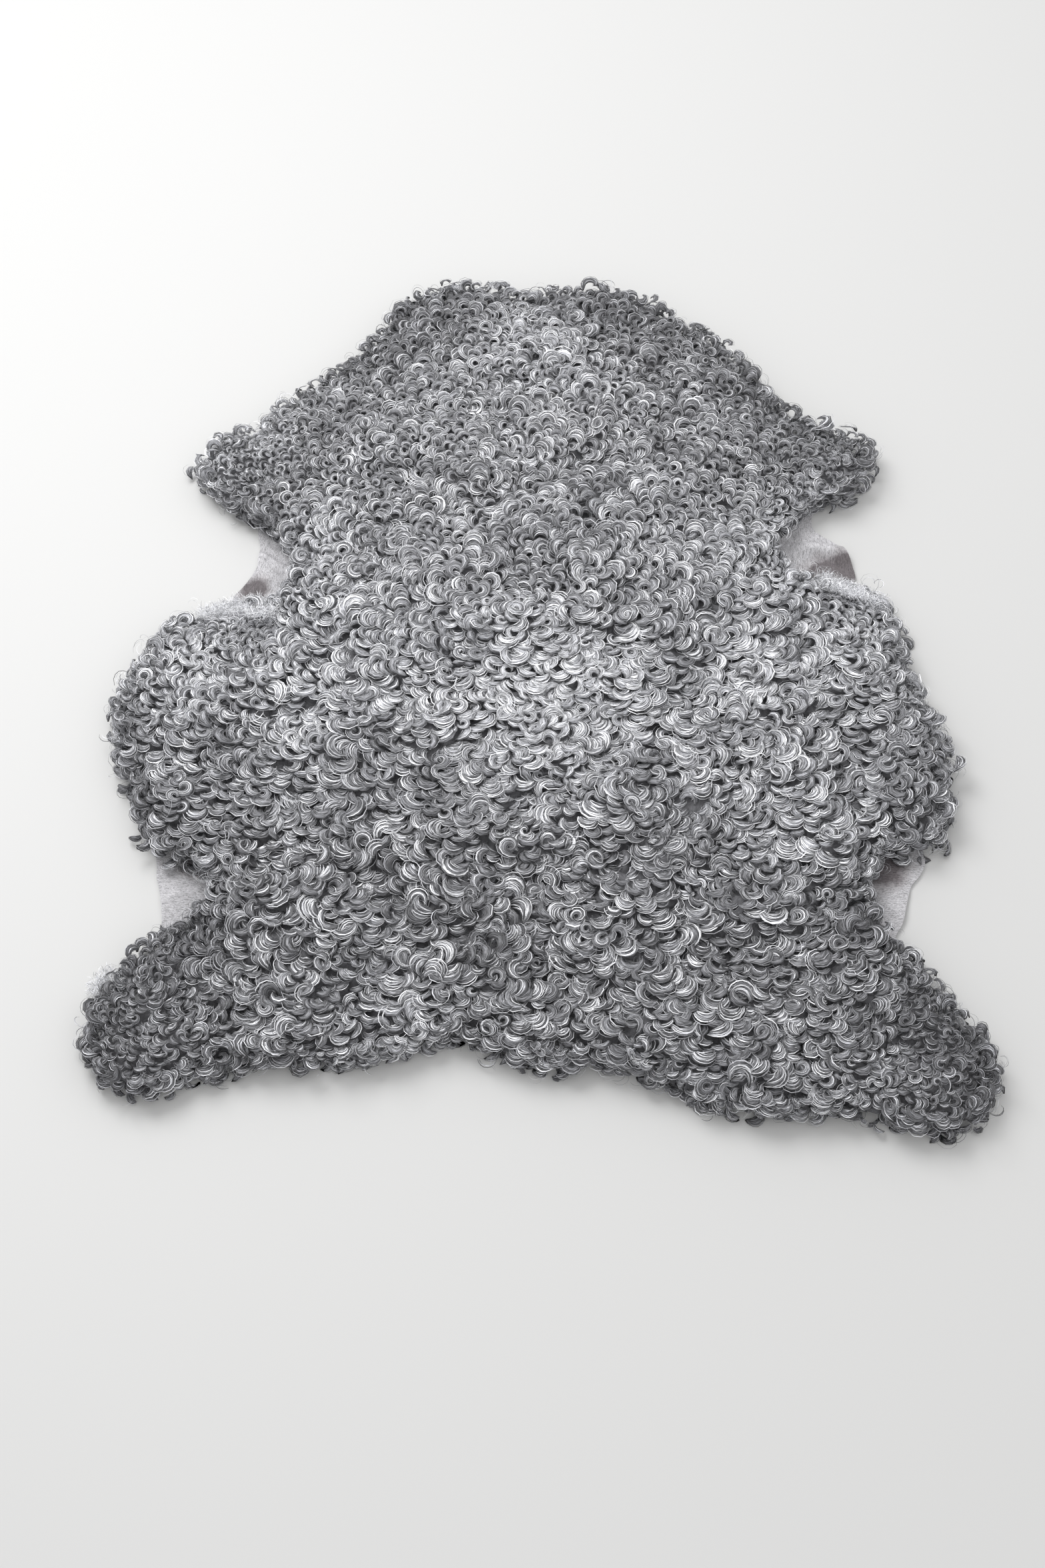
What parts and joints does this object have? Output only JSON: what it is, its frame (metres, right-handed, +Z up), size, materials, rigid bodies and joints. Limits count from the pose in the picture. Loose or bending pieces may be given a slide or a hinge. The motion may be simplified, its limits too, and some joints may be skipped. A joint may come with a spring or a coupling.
{
  "type": "sheepskin rug",
  "caption": "Curly grey lambskin rug lying flat with its wool up, in the outline of a whole opened-out pelt, bare leather showing at the armpits and groins.",
  "frame": {"origin": "on the floor, at the middle of the rug's bounding box", "axes": "+Y toward the neck, +X to the skin's right-hand side in the picture, +Z up, the wool side"},
  "size_m": [0.8892, 1.0892, 0.0482],
  "materials": {
    "wool": "curly silver-grey wool, lightly glossy",
    "leather": "pale grey tanned skin, matt, fine grain"
  },
  "bodies": {
    "root": {"sheepskin": "wool"}
  },
  "joints": []
}
